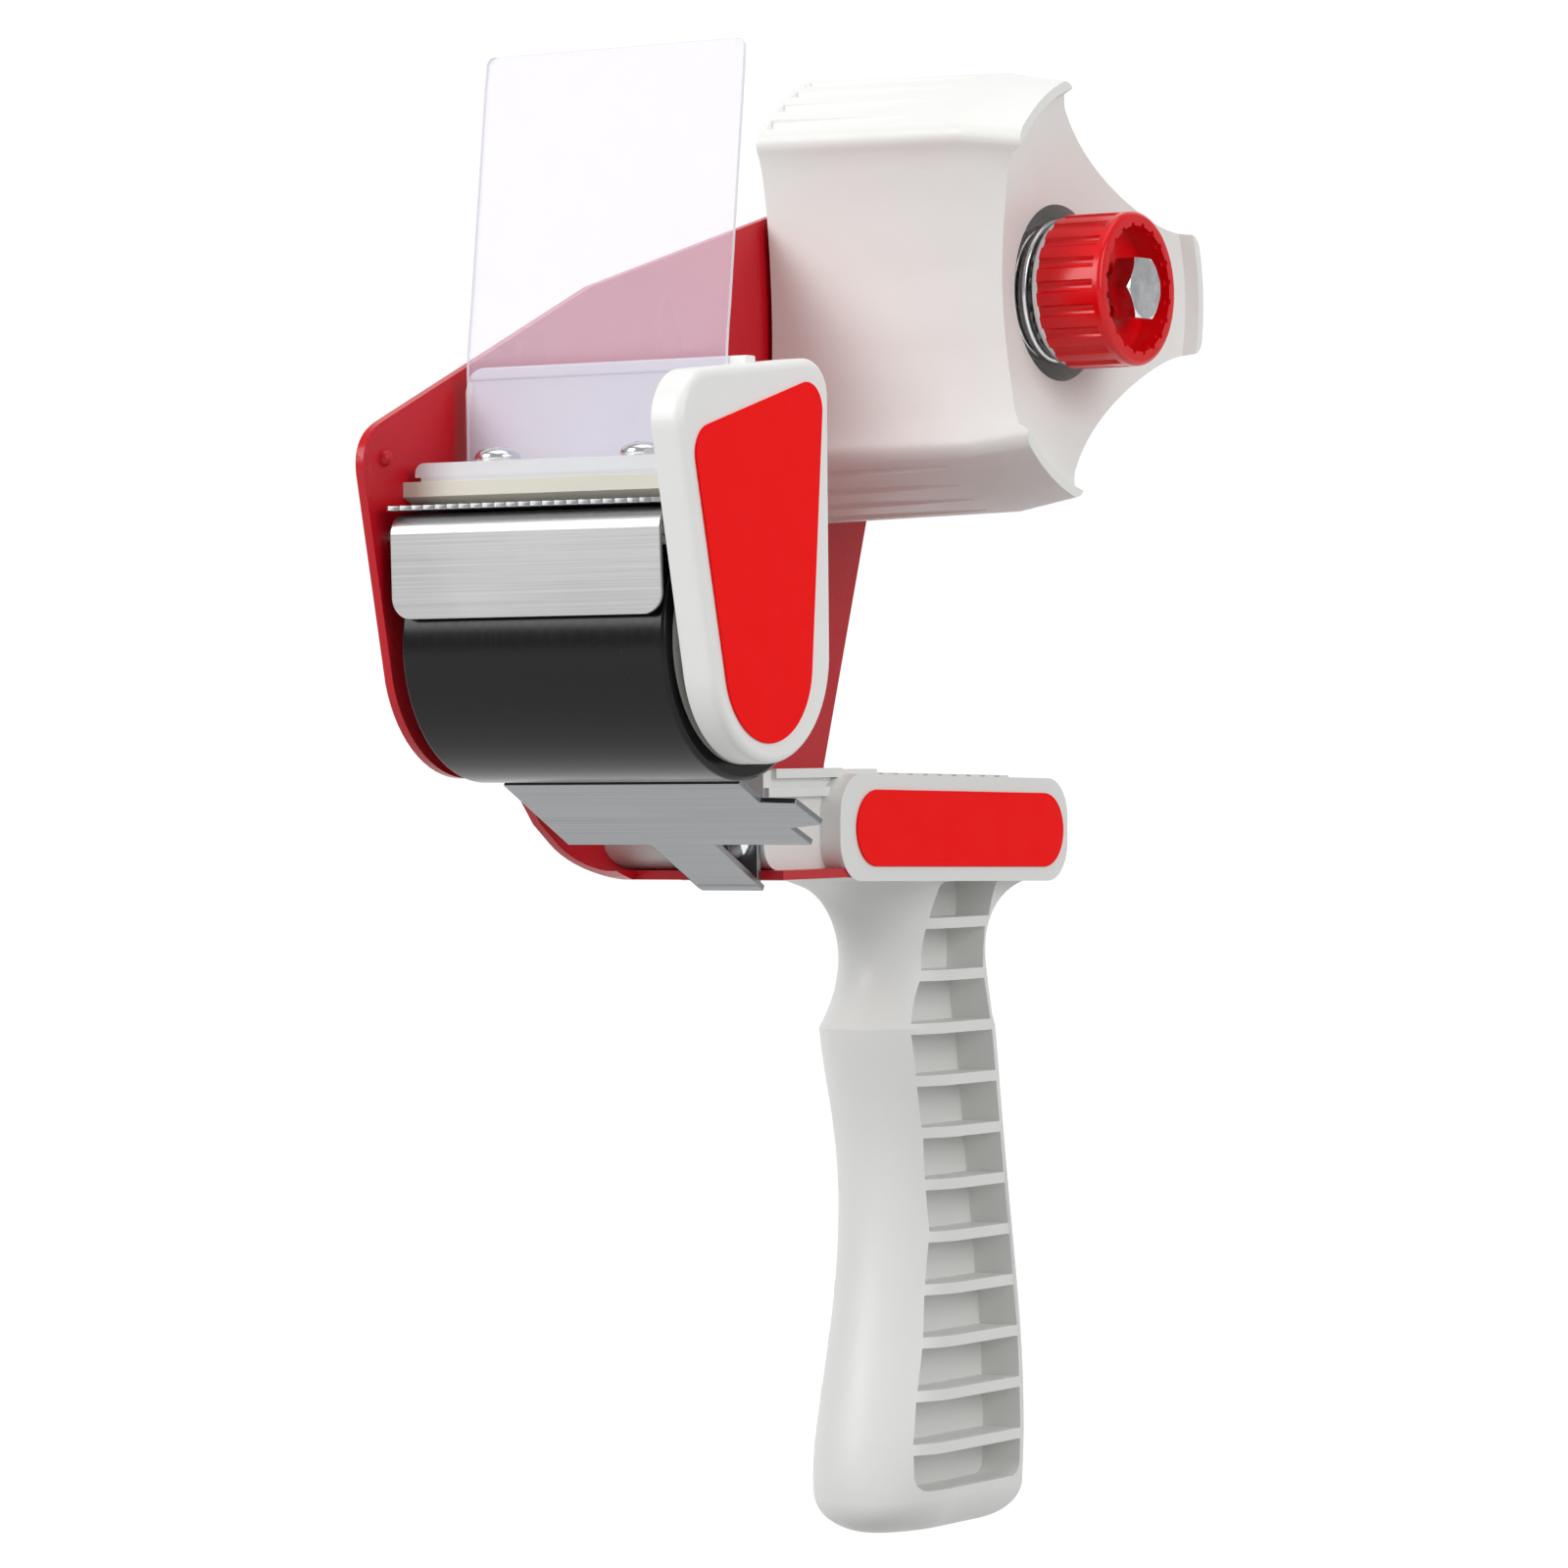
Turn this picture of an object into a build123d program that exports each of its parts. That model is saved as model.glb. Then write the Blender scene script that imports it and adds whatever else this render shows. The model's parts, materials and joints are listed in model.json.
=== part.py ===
from build123d import *
import math
import os

# Pistol-grip tape dispenser. Origin on the tape hub's axis, in the tape's centre plane.
# +X points forward to the cutting head, +Y to the open side where the roll goes on, +Z up.
# All sizes are in millimetres.

# ---- driving dimensions ----
TAPE_W = 48.0  # tape width
PLATE_IN = -26.8  # inner face of the side plate, along Y
PLATE_T = 1.5  # sheet thickness of the side plate
PLATE_OUT = PLATE_IN - PLATE_T
HUB_ARC_R = 19.0  # plate outline round the hub axis

HUB_R = 39.0  # lobe radius at the plate end, for a 76 mm paper core
HUB_R_FREE = 38.0  # lobe radius where the lead-in starts
HUB_R_END = 35.9  # lobe radius at the open end
HUB_Y0 = -25.8
HUB_Y1 = 24.0
LEAD_IN = 11.0  # length of the lead-in taper
LOBE_ANGLES = (58.0, 178.0, 298.0)
LOBE_HALF = 17.5  # half of a lobe's arc, degrees
LOBE_EDGE = 3.0  # rounding where the lobes meet the hollows
HOLLOW_WIDTH = 0.92  # share of the hollow's width where its flat part starts
VALLEY_R = 24.2  # least radius of the hollow sides
LIP_T = 1.2  # thickness of the lobe's end lip
GROOVE_R = 0.75
POCKET_R = 14.8
POCKET_MOUTH = 16.0
SLEEVE_R = 5.0
WASHER_R = 15.0
DISH_R = 34.2  # where the dished end starts
DISH_STEP = 2.7  # depth of the step inside the lobes' ends
POCKET_FLOOR = 5.0

M6_R = 3.0
M6_FLATS = 10.0
HEAD_H = 4.0
HEAD_OUT = 32.6  # outer face of the bolt head, along Y
KNOB_R = 12.9
KNOB_CUP_R = 10.5
KNOB_Y0 = 19.0
KNOB_Y1 = 31.3
KNOB_FLOOR = 26.7
KNOB_FLUTES = 20
WASHER_T = 1.2

ROLLER_X = 112.2
ROLLER_Z = -59.3
ROLLER_R = 21.5
ROLLER_L = 48.5
SLEEVE_IN = 19.0
AXLE_R = 4.0

COVER_IN = 26.1
COVER_OUT = 31.5
WALL_X = 114.5  # front face of the wall behind the flap
WALL_T = 2.0
WALL_TOP = -16.2

BAR_TOP = -34.3
BAR_FRONT = 129.0
BLADE_TIP = 136.6
BLADE_Z = -38.2  # upper face of the blade
BLADE_T = 0.7
BLADE_HALF = 25.6
TOOTH_PITCH = 2.2
TOOTH_H = 1.5

ROD_X = 132.1
ROD_Z = -42.7
ROD_R = 1.2
ROLL_OUT = 3.3  # outer radius of the guard's rolled edge
SHEET_T = 0.8
GUARD_HALF = 24.8
GUARD_BOTTOM = -55.6

FLAP_HALF = TAPE_W / 2
FLAP_T = 0.7
FLAP_X = 115.7  # flap's front face where it bends off the wall
FLAP_ROOT = -16.0
FLAP_H = 49.3
FLAP_GAP = 0.75  # room left at the bend for the flap to swing
FLAP_LEAN = 7.5  # backward lean of the free part, degrees

GUIDE_TOP = (106.0, -81.3)
GUIDE_SLOPE = 28.3
GUIDE_T = 1.0
GUIDE_SCREW = (-1.2, -90.6)  # y and z of the screw that holds the guide

TBAR_FRONT = 74.6
TBAR_TOP = -79.4
TBAR_SIDE = 3.8
PAD_SIDE = 7.7
PAD_TILT = 1.3
FLANGE_TOP = -95.3
BEND_R = 4.5
GRIP_Y = -9.0  # grip's middle plane
GRIP_NOSE = 12.0  # depth of the grip's rounded front
RIB_PITCH = 8.72
RIB_T = 1.8
FIRST_RIB = -105.4
CELL_DEPTH = 7.3


def side(y):
    """Sketch plane facing along Y at height y: local x is X, local y is Z, extrude goes to -Y."""
    return Plane.XZ.offset(-y)


def save(part, label):
    part.label = label
    export_step(part, f"parts/{label}.step")


os.makedirs("parts", exist_ok=True)

# ---- side plate: one painted sheet with a flange bent under the T-bar ----
rear_low = Vector(8.0, -90.8)
rear_dir = Vector(-15.5, 42.6).normalized()
rear_tangent = Vector(-HUB_ARC_R * rear_dir.Y, HUB_ARC_R * rear_dir.X)
kink = Vector(76.6, -1.2)
top_angle = math.degrees(math.atan2(kink.Y, kink.X)) + math.degrees(math.acos(HUB_ARC_R / kink.length))
top_tangent = Vector(HUB_ARC_R, 0).rotate(Axis.Z, top_angle)
arc_crown = Vector(HUB_ARC_R, 0).rotate(Axis.Z, 140.0)
roller_centre = Vector(ROLLER_X, ROLLER_Z)
nose_r = ROLLER_R - 0.7
nose_start = roller_centre + Vector(nose_r, 0).rotate(Axis.Z, -17.0)
nose_mid = roller_centre + Vector(nose_r, 0).rotate(Axis.Z, -65.0)
nose_end = roller_centre + Vector(nose_r, 0).rotate(Axis.Z, -120.0)

with BuildPart() as side_plate:
    with BuildSketch(side(PLATE_IN)):
        with BuildLine():
            Polyline(rear_low, (7.4, -78.9), rear_tangent)
            ThreePointArc(rear_tangent, arc_crown, top_tangent)
            Polyline(top_tangent, kink, (134.0, -25.0))
            Bezier((134.0, -25.0), (139.0, -27.1), (139.8, -30.5), (139.0, -34.0))
            Line((139.0, -34.0), nose_start)
            ThreePointArc(nose_start, nose_mid, nose_end)
            Polyline(nose_end, (92.6, -87.6), (88.0, -90.8), rear_low)
        make_face()
    extrude(amount=PLATE_T)
    # the bend and the flange, drawn in section and run along X
    with BuildSketch(Plane.YZ.offset(28.0)):
        with BuildLine():
            Line((PLATE_IN, -90.8), (PLATE_OUT, -90.8))
            RadiusArc((PLATE_OUT, -90.8), (PLATE_IN + BEND_R, FLANGE_TOP - PLATE_T), -(BEND_R + PLATE_T))
            Polyline(
                (PLATE_IN + BEND_R, FLANGE_TOP - PLATE_T),
                (PAD_SIDE - 0.3, FLANGE_TOP - PLATE_T),
                (PAD_SIDE - 0.3, FLANGE_TOP),
                (PLATE_IN + BEND_R, FLANGE_TOP),
            )
            RadiusArc((PLATE_IN + BEND_R, FLANGE_TOP), (PLATE_IN, -90.8), BEND_R)
        make_face()
    extrude(amount=60.0)
    with BuildSketch(side(20.0)):
        with BuildLine():
            Polyline((89.5, -90.8), (88.0, -90.8))
            Spline((88.0, -90.8), (80.0, -95.2), (TBAR_FRONT, -96.9))
            Polyline((TBAR_FRONT, -96.9), (TBAR_FRONT, -99.0), (89.5, -99.0), (89.5, -90.8))
        make_face()
    extrude(amount=60.0, mode=Mode.SUBTRACT)
    with BuildSketch(side(20.0)):
        with Locations((TBAR_FRONT + 5.0, -97.0)):
            Rectangle(10.0, 4.0)
    extrude(amount=41.0, mode=Mode.SUBTRACT)
    # holes for the hub bolt, the axle, the guard rod and the screws
    with Locations(Location((0, PLATE_IN, 0), (90, 0, 0))):
        Hole(M6_R + 0.1)
    with Locations(Location((ROLLER_X, PLATE_IN, ROLLER_Z), (90, 0, 0))):
        Hole(AXLE_R + 0.1)
    with Locations(Location((ROD_X, PLATE_IN, ROD_Z), (90, 0, 0))):
        Hole(ROD_R + 0.05)
    for x, z in ((122.5, -36.3), (25.0, -87.0), (58.0, -87.0)):
        with Locations(Location((x, PLATE_IN, z), (90, 0, 0))):
            Hole(2.1)
    # small pressed bump near the front corner
    with Locations((133.8, PLATE_IN, -30.7)):
        Sphere(1.3)
save(side_plate.part, "side_plate")


# ---- handle: T-bar and grip in one moulding ----
def grip_section(z, front, rear, half):
    """Outline of the grip at height z: half an ellipse in front, flat sides, rounded rear corners."""
    corner = 1.2
    low = GRIP_Y - half
    high = GRIP_Y + half
    with BuildSketch(Plane.XY.offset(z)) as section:
        with BuildLine():
            EllipticalCenterArc((front - GRIP_NOSE, GRIP_Y), GRIP_NOSE, half, -90, arc_size=180)
            Line((front - GRIP_NOSE, high), (rear + corner, high))
            RadiusArc((rear + corner, high), (rear, high - corner), -corner)
            Line((rear, high - corner), (rear, low + corner))
            RadiusArc((rear, low + corner), (rear + corner, low), -corner)
            Line((rear + corner, low), (front - GRIP_NOSE, low))
        make_face()
    return section.sketch


# height, front x, rear x, half width, front x of the cells
UPPER_GRIP = (
    (-97.4, 38.5, -14.0, 12.6, 19.6),
    (-99.2, 32.5, -8.0, 11.9, 19.0),
    (-102.5, 27.0, -2.0, 11.1, 18.8),
    (-107.0, 24.2, 0.6, 10.6, 18.8),
    (-112.0, 23.4, 0.9, 10.5, 18.6),
    (-117.5, 25.0, 0.3, 10.8, 20.4),
    (-122.8, 28.6, -0.6, 11.3, 24.0),
)
LOWER_GRIP = (
    (-122.8, 28.6, -0.6, 11.3, 24.0),
    (-131.0, 26.8, -1.8, 11.3, 22.2),
    (-143.0, 24.0, -3.6, 11.2, 19.4),
    (-157.0, 23.4, -5.8, 11.2, 18.5),
    (-175.0, 26.2, -7.7, 11.6, 21.4),
    (-190.0, 29.9, -7.8, 12.0, 25.4),
    (-201.0, 30.8, -7.0, 12.0, 26.0),
)
FOOT_GRIP = (
    (-201.0, 30.8, -7.0, 12.0, 26.0),
    (-204.2, 29.6, -5.6, 10.8, 26.0),
    (-206.2, 27.0, -3.0, 8.4, 26.0),
    (-207.0, 23.4, 0.6, 5.0, 26.0),
)
CELLS = 12
REAR_WALL = 2.0
NECK_REAR = -1.6  # rear face of the top cell, inside the neck's flare
CELL_TOP = -98.4
CELL_FOOT = -199.6


def grip_at(z):
    """Front x, rear x, half width and the cells' front x at height z, along straight lines between stations."""
    stations = UPPER_GRIP + LOWER_GRIP[1:]
    for above, below in zip(stations, stations[1:]):
        if above[0] >= z >= below[0]:
            share = (z - above[0]) / (below[0] - above[0])
            return [above[i] + share * (below[i] - above[i]) for i in (1, 2, 3, 4)]
    return stations[0][1:]


with BuildPart() as handle:
    for stations in (UPPER_GRIP, LOWER_GRIP, FOOT_GRIP):
        add([grip_section(*station[:4]) for station in stations])
        loft()
    # T-bar: a rounded pad block and a lower nose that the flange wraps
    with BuildSketch(side(PAD_SIDE)):
        with Locations(Location((21.1, -89.5), PAD_TILT)):
            RectangleRounded(73.4, 17.4, 6.6)
    extrude(amount=PAD_SIDE - PLATE_IN)
    with BuildSketch(side(TBAR_SIDE)):
        with BuildLine():
            Polyline((40.0, TBAR_TOP), (TBAR_FRONT, TBAR_TOP), (TBAR_FRONT, FLANGE_TOP + 4.0))
            RadiusArc((TBAR_FRONT, FLANGE_TOP + 4.0), (TBAR_FRONT - 4.0, FLANGE_TOP), 4.0)
            Polyline((TBAR_FRONT - 4.0, FLANGE_TOP), (40.0, FLANGE_TOP), (40.0, TBAR_TOP))
        make_face()
    extrude(amount=TBAR_SIDE - PLATE_IN)
    # room for the flange under the T-bar and for its bend
    with BuildSketch(Plane.YZ.offset(27.8)):
        with BuildLine():
            Line((PLATE_IN - 1.0, -90.8), (PLATE_IN, -90.8))
            RadiusArc((PLATE_IN, -90.8), (PLATE_IN + BEND_R, FLANGE_TOP), -BEND_R)
            Polyline(
                (PLATE_IN + BEND_R, FLANGE_TOP),
                (PAD_SIDE - 0.2, FLANGE_TOP),
                (PAD_SIDE - 0.2, FLANGE_TOP - PLATE_T - 0.05),
                (PLATE_IN - 1.0, FLANGE_TOP - PLATE_T - 0.05),
                (PLATE_IN - 1.0, -90.8),
            )
        make_face()
    extrude(amount=62.0, mode=Mode.SUBTRACT)
    # cells between the ribs, open on both sides
    for cell in range(CELLS):
        top = min(FIRST_RIB + RIB_PITCH - RIB_T / 2 - RIB_PITCH * cell, CELL_TOP)
        bottom = FIRST_RIB + RIB_T / 2 - RIB_PITCH * cell
        if cell == CELLS - 1:
            bottom = CELL_FOOT
        high = grip_at(top)
        low = grip_at(bottom)
        rear_top = high[1] + REAR_WALL
        if cell == 0:
            rear_top = NECK_REAR + REAR_WALL
        half = (high[2] + low[2]) / 2
        for start in (GRIP_Y + half + 5.0, GRIP_Y - half + CELL_DEPTH):
            with BuildSketch(side(start)):
                with BuildLine():
                    Polyline(
                        (rear_top, top),
                        (high[3], top),
                        (low[3], bottom),
                        (max(low[1] + REAR_WALL, rear_top - 1.0), bottom),
                        (rear_top, top),
                    )
                outline = make_face()
                corners = outline.vertices().sort_by(Axis.Y)
                if cell == 0:
                    fillet(corners[-2:].sort_by(Axis.X)[-1], 1.6)
                elif cell == CELLS - 1:
                    fillet(corners[:2], 2.6)
            extrude(amount=CELL_DEPTH + 5.0, mode=Mode.SUBTRACT)
    # cross ribs on top for the thumb, and two ridges on the nose's side
    for i in range(12):
        with Locations((46.0 - 4.7 * i, -12.0, -80.6 - 0.1 * i)):
            Box(3.2, 26.0, 1.6)
    for z, x0 in ((-79.9, 52.2), (-82.9, 54.5)):
        with Locations((x0 + 10.0, TBAR_SIDE, z)):
            Box(20.0, 2.0, 1.5)
    # screw holes from the plate side
    with Locations(*(Location((x, PLATE_IN, -87.0), (90, 0, 0)) for x in (25.0, 58.0))):
        Hole(1.6, depth=14.0)
    with Locations(Location((TBAR_FRONT, *GUIDE_SCREW), (0, 90, 0))):
        Hole(1.6, depth=9.0)
save(handle.part, "handle")

with BuildPart() as handle_badge:
    with BuildSketch(side(PAD_SIDE + 0.4)):
        with Locations(Location((19.7, -89.6), PAD_TILT)):
            SlotOverall(66.8, 12.5)
    extrude(amount=0.4)
save(handle_badge.part, "handle_badge")


def screw_along(plane, radius, height, shank_r, length):
    """A domed screw standing on a plane, its shank below the plane."""
    section = Plane(plane.origin, x_dir=plane.x_dir, z_dir=-plane.y_dir)
    with BuildPart() as screw:
        with BuildSketch(section):
            with BuildLine():
                Polyline((0, height), (0, -length), (shank_r, -length), (shank_r, 0), (radius, 0))
                Line((radius, 0), (radius, height * 0.35))
                Bezier(
                    (radius, height * 0.35),
                    (radius * 0.9, height * 0.75),
                    (radius * 0.6, height),
                    (radius * 0.3, height),
                )
                Line((radius * 0.3, height), (0, height))
            make_face()
        revolve(axis=Axis(plane.origin, plane.z_dir))
    return screw.part


def plate_screws(spots, length):
    """Screws driven through the side plate from outside, one for each (x, z)."""
    screws = []
    for x, z in spots:
        out = Plane((x, PLATE_OUT, z), x_dir=(1, 0, 0), z_dir=(0, -1, 0))
        screws.append(screw_along(out, 3.6, 2.3, 1.55, length))
    return Compound(children=screws)


save(plate_screws(((25.0, -87.0), (58.0, -87.0)), 14.0), "handle_screws")
save(plate_screws(((122.5, -36.3),), 12.0), "bar_screw")


# ---- head: cover, wall, cross bar, blade ----
def hull_outline(circles):
    """Outline wrapped round circles given as (x, z, radius)."""
    with BuildSketch() as outline:
        with BuildLine():
            for x, z, radius in circles:
                CenterArc((x, z), radius, 0, 360)
        make_hull()
    return outline.sketch


COVER_CORNERS = ((103.2, -21.9, 5.6), (131.4, -27.0, 8.0), (114.7, -61.2, 17.0))
BADGE_CORNERS = ((104.7, -24.2, 4.2), (131.3, -32.0, 4.7), (116.3, -62.9, 12.2))
POCKET_CORNERS = ((106.0, -50.0, 5.6), (121.0, -50.0, 5.6), (114.7, -61.2, 14.4))

with BuildPart() as head_shell:
    with BuildSketch(side(COVER_OUT)):
        add(hull_outline(COVER_CORNERS))
    extrude(amount=COVER_OUT - COVER_IN)
    outer_edges = head_shell.faces().sort_by(Axis.Y)[-1].edges()
    fillet(outer_edges, 1.6)
    with BuildSketch(side(COVER_IN + 3.4)):
        add(hull_outline(POCKET_CORNERS))
    extrude(amount=3.4, mode=Mode.SUBTRACT)
    # boss with a pocket for the axle nut
    with BuildSketch(side(COVER_IN + 3.4)):
        with Locations((ROLLER_X, ROLLER_Z)):
            Circle(8.0)
    extrude(amount=3.4)
    with BuildSketch(side(COVER_IN + 3.4)):
        with Locations((ROLLER_X, ROLLER_Z)):
            RegularPolygon(M6_FLATS / 2 + 0.05, 6, major_radius=False)
    extrude(amount=3.4, mode=Mode.SUBTRACT)
    # wall behind the flap, with a thicker rim along its top
    with BuildSketch(side(COVER_IN + 1.0)):
        with Locations((WALL_X - WALL_T / 2, (WALL_TOP - 36.8) / 2)):
            Rectangle(WALL_T, WALL_TOP + 36.8)
        with Locations((WALL_X - 1.0, WALL_TOP - 1.0)):
            RectangleRounded(2.8, 2.0, 0.4)
    extrude(amount=COVER_IN + 1.0 + 25.0)
    with BuildSketch(Plane.YZ.offset(WALL_X - 5.0)):
        with BuildLine():
            Polyline((-25.5, WALL_TOP - 4.0), (-25.5, WALL_TOP + 1.0), (-21.0, WALL_TOP + 1.0))
            Polyline((-21.0, WALL_TOP + 1.0), (-21.0, WALL_TOP))
            RadiusArc((-21.0, WALL_TOP), (-25.0, WALL_TOP - 4.0), -4.0)
            Line((-25.0, WALL_TOP - 4.0), (-25.5, WALL_TOP - 4.0))
        make_face()
    extrude(amount=10.0, mode=Mode.SUBTRACT)
    # socket for the guard rod
    with Locations(Location((ROD_X, COVER_IN, ROD_Z), (90, 0, 0))):
        Hole(ROD_R + 0.05, depth=2.6)
save(head_shell.part, "head_shell")

with BuildPart() as cover_badge:
    with BuildSketch(side(COVER_OUT + 0.4)):
        add(hull_outline(BADGE_CORNERS))
    extrude(amount=0.4)
save(cover_badge.part, "cover_badge")

SCREW_X = 124.0
SCREW_YS = (-12.4, 14.4)
STRIP_TOP = -31.4

with BuildPart() as clamp_bar:
    with BuildSketch(side(COVER_IN)):
        with BuildLine():
            Polyline(
                (WALL_X, BAR_TOP),
                (BAR_FRONT, BAR_TOP),
                (BAR_FRONT, BAR_TOP - 2.3),
                (BAR_FRONT - 3.4, BLADE_Z),
                (120.0, BLADE_Z),
                (WALL_X, -36.4),
                (WALL_X, BAR_TOP),
            )
        make_face()
    extrude(amount=COVER_IN - PLATE_IN)
    with Locations(*(Location((SCREW_X, y, BAR_TOP)) for y in SCREW_YS)):
        Hole(1.6, depth=2.9)
    with Locations(Location((122.5, PLATE_IN, -36.3), (90, 0, 0))):
        Hole(1.6, depth=12.0)
save(clamp_bar.part, "clamp_bar")

with BuildPart() as blade:
    with BuildSketch(Plane.XY.offset(BLADE_Z - BLADE_T)):
        teeth = int(2 * BLADE_HALF // TOOTH_PITCH)
        edge = []
        for i in range(teeth):
            y = -TOOTH_PITCH * teeth / 2 + TOOTH_PITCH * i
            edge += [(BLADE_TIP - TOOTH_H, y), (BLADE_TIP, y + TOOTH_PITCH / 2)]
        edge += [(BLADE_TIP - TOOTH_H, TOOTH_PITCH * teeth / 2)]
        with BuildLine():
            Polyline(
                (121.0, -BLADE_HALF),
                (BLADE_TIP - TOOTH_H, -BLADE_HALF),
                *edge,
                (BLADE_TIP - TOOTH_H, BLADE_HALF),
                (121.0, BLADE_HALF),
                (121.0, -BLADE_HALF),
            )
        make_face()
    extrude(amount=BLADE_T)
save(blade.part, "blade")

# ---- wiper flap: clear sheet held by a strip and two screws ----
with BuildPart() as flap_foot:
    with BuildSketch(side(FLAP_HALF)):
        with BuildLine():
            Polyline(
                (FLAP_X - FLAP_T, FLAP_ROOT),
                (FLAP_X, FLAP_ROOT),
                (FLAP_X, BAR_TOP + FLAP_T),
                (128.2, BAR_TOP + FLAP_T),
                (128.2, BAR_TOP),
                (FLAP_X - FLAP_T, BAR_TOP),
                (FLAP_X - FLAP_T, FLAP_ROOT),
            )
        make_face()
    extrude(amount=TAPE_W)
    with Locations(*(Location((SCREW_X, y, BAR_TOP + FLAP_T)) for y in SCREW_YS)):
        Hole(1.8)
save(flap_foot.part, "flap_foot")

lean = math.radians(FLAP_LEAN)
flap_plane = Plane(
    (FLAP_X, 0, FLAP_ROOT),
    x_dir=(0, 1, 0),
    z_dir=(math.cos(lean), 0, math.sin(lean)),
)
with BuildPart() as wiper_flap:
    with BuildSketch(flap_plane):
        with BuildLine():
            Polyline(
                (-FLAP_HALF, FLAP_GAP),
                (FLAP_HALF, FLAP_GAP),
                (FLAP_HALF, FLAP_H),
                (-FLAP_HALF, FLAP_H),
                (-FLAP_HALF, FLAP_GAP),
            )
        make_face()
    extrude(amount=-FLAP_T)
save(wiper_flap.part, "wiper_flap")

with BuildPart() as flap_strip:
    with BuildSketch(Plane.XY.offset(BAR_TOP + FLAP_T)):
        with Locations(((FLAP_X + 128.0) / 2, 0)):
            Rectangle(128.0 - FLAP_X, 2 * 25.2)
    extrude(amount=STRIP_TOP - BAR_TOP - FLAP_T)
    ends = flap_strip.edges().filter_by(Axis.X).group_by(Axis.Z)[-1]
    fillet(ends, 1.6)
    with Locations(*(Location((SCREW_X, y, STRIP_TOP)) for y in SCREW_YS)):
        Hole(1.8)
save(flap_strip.part, "flap_strip")

flap_screws = [
    screw_along(Plane((SCREW_X, y, STRIP_TOP), x_dir=(1, 0, 0), z_dir=(0, 0, 1)), 3.5, 2.3, 1.5, 5.4)
    for y in SCREW_YS
]
save(Compound(children=flap_screws), "flap_screws")

# ---- spring-loaded guard under the blade ----
GUARD_FACE = ROD_X + ROLL_OUT
with BuildPart() as blade_guard:
    inner = ROLL_OUT - SHEET_T
    with BuildSketch(side(GUARD_HALF)):
        with BuildLine():
            Line((GUARD_FACE, ROD_Z), (GUARD_FACE - 0.4, GUARD_BOTTOM))
            Line((GUARD_FACE - 0.4, GUARD_BOTTOM), (GUARD_FACE - 0.4 - SHEET_T, GUARD_BOTTOM))
            Line((GUARD_FACE - 0.4 - SHEET_T, GUARD_BOTTOM), (GUARD_FACE - SHEET_T, ROD_Z))
            CenterArc((ROD_X, ROD_Z), inner, 0, 215)
            roll_in = Vector(ROD_X, ROD_Z) + Vector(inner, 0).rotate(Axis.Z, 215)
            roll_out = Vector(ROD_X, ROD_Z) + Vector(ROLL_OUT, 0).rotate(Axis.Z, 215)
            Line(roll_in, roll_out)
            CenterArc((ROD_X, ROD_Z), ROLL_OUT, 215, -215)
        make_face()
    extrude(amount=2 * GUARD_HALF)
    low_corners = blade_guard.edges().filter_by(Axis.X, tolerance=0.05).group_by(Axis.Z)[0]
    fillet(low_corners, 3.4)
save(blade_guard.part, "blade_guard")

with BuildPart() as guard_bushes:
    for y in (-GUARD_HALF + 1.0, GUARD_HALF - 5.0):
        with BuildSketch(side(y + 4.0)):
            with Locations((ROD_X, ROD_Z)):
                Circle(ROLL_OUT - SHEET_T)
                Circle(ROD_R + 0.05, mode=Mode.SUBTRACT)
        extrude(amount=4.0)
save(guard_bushes.part, "guard_bushes")

with BuildPart() as guard_rod:
    with BuildSketch(side(COVER_IN + 2.5)):
        with Locations((ROD_X, ROD_Z)):
            Circle(ROD_R)
    extrude(amount=COVER_IN + 2.5 - PLATE_OUT)
    with BuildSketch(side(PLATE_OUT)):
        with Locations((ROD_X, ROD_Z)):
            Circle(2.2)
    extrude(amount=1.0)
save(guard_rod.part, "guard_rod")

with BuildPart() as guard_spring:
    with BuildSketch(side(5.0)):
        with Locations((ROD_X, ROD_Z)):
            Circle(2.0)
            Circle(ROD_R + 0.1, mode=Mode.SUBTRACT)
    extrude(amount=10.0)
save(guard_spring.part, "guard_spring")

# ---- roller ----
with BuildPart() as roller_sleeve:
    with BuildSketch(side(ROLLER_L / 2)):
        with Locations((ROLLER_X, ROLLER_Z)):
            Circle(ROLLER_R)
            Circle(SLEEVE_IN, mode=Mode.SUBTRACT)
    extrude(amount=ROLLER_L)
    chamfer(roller_sleeve.edges().filter_by(GeomType.CIRCLE).sort_by(SortBy.RADIUS)[-2:], 0.5)
save(roller_sleeve.part, "roller_sleeve")

with BuildPart() as roller_bushes:
    for y in (ROLLER_L / 2, 4.0 - ROLLER_L / 2):
        with BuildSketch(side(y)):
            with Locations((ROLLER_X, ROLLER_Z)):
                Circle(SLEEVE_IN)
                Circle(AXLE_R + 0.06, mode=Mode.SUBTRACT)
        extrude(amount=4.0)
save(roller_bushes.part, "roller_bushes")

AXLE_SHOULDER = 25.0
with BuildPart() as roller_axle:
    with BuildSketch(side(AXLE_SHOULDER)):
        with Locations((ROLLER_X, ROLLER_Z)):
            Circle(AXLE_R)
    extrude(amount=AXLE_SHOULDER - PLATE_OUT)
    with BuildSketch(side(COVER_IN + 3.2)):
        with Locations((ROLLER_X, ROLLER_Z)):
            Circle(M6_R)
    extrude(amount=COVER_IN + 3.2 - AXLE_SHOULDER)
    with BuildSketch(side(PLATE_OUT)):
        with Locations((ROLLER_X, ROLLER_Z)):
            RegularPolygon(6.5, 6, major_radius=False)
    extrude(amount=4.6)
save(roller_axle.part, "roller_axle")

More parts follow.
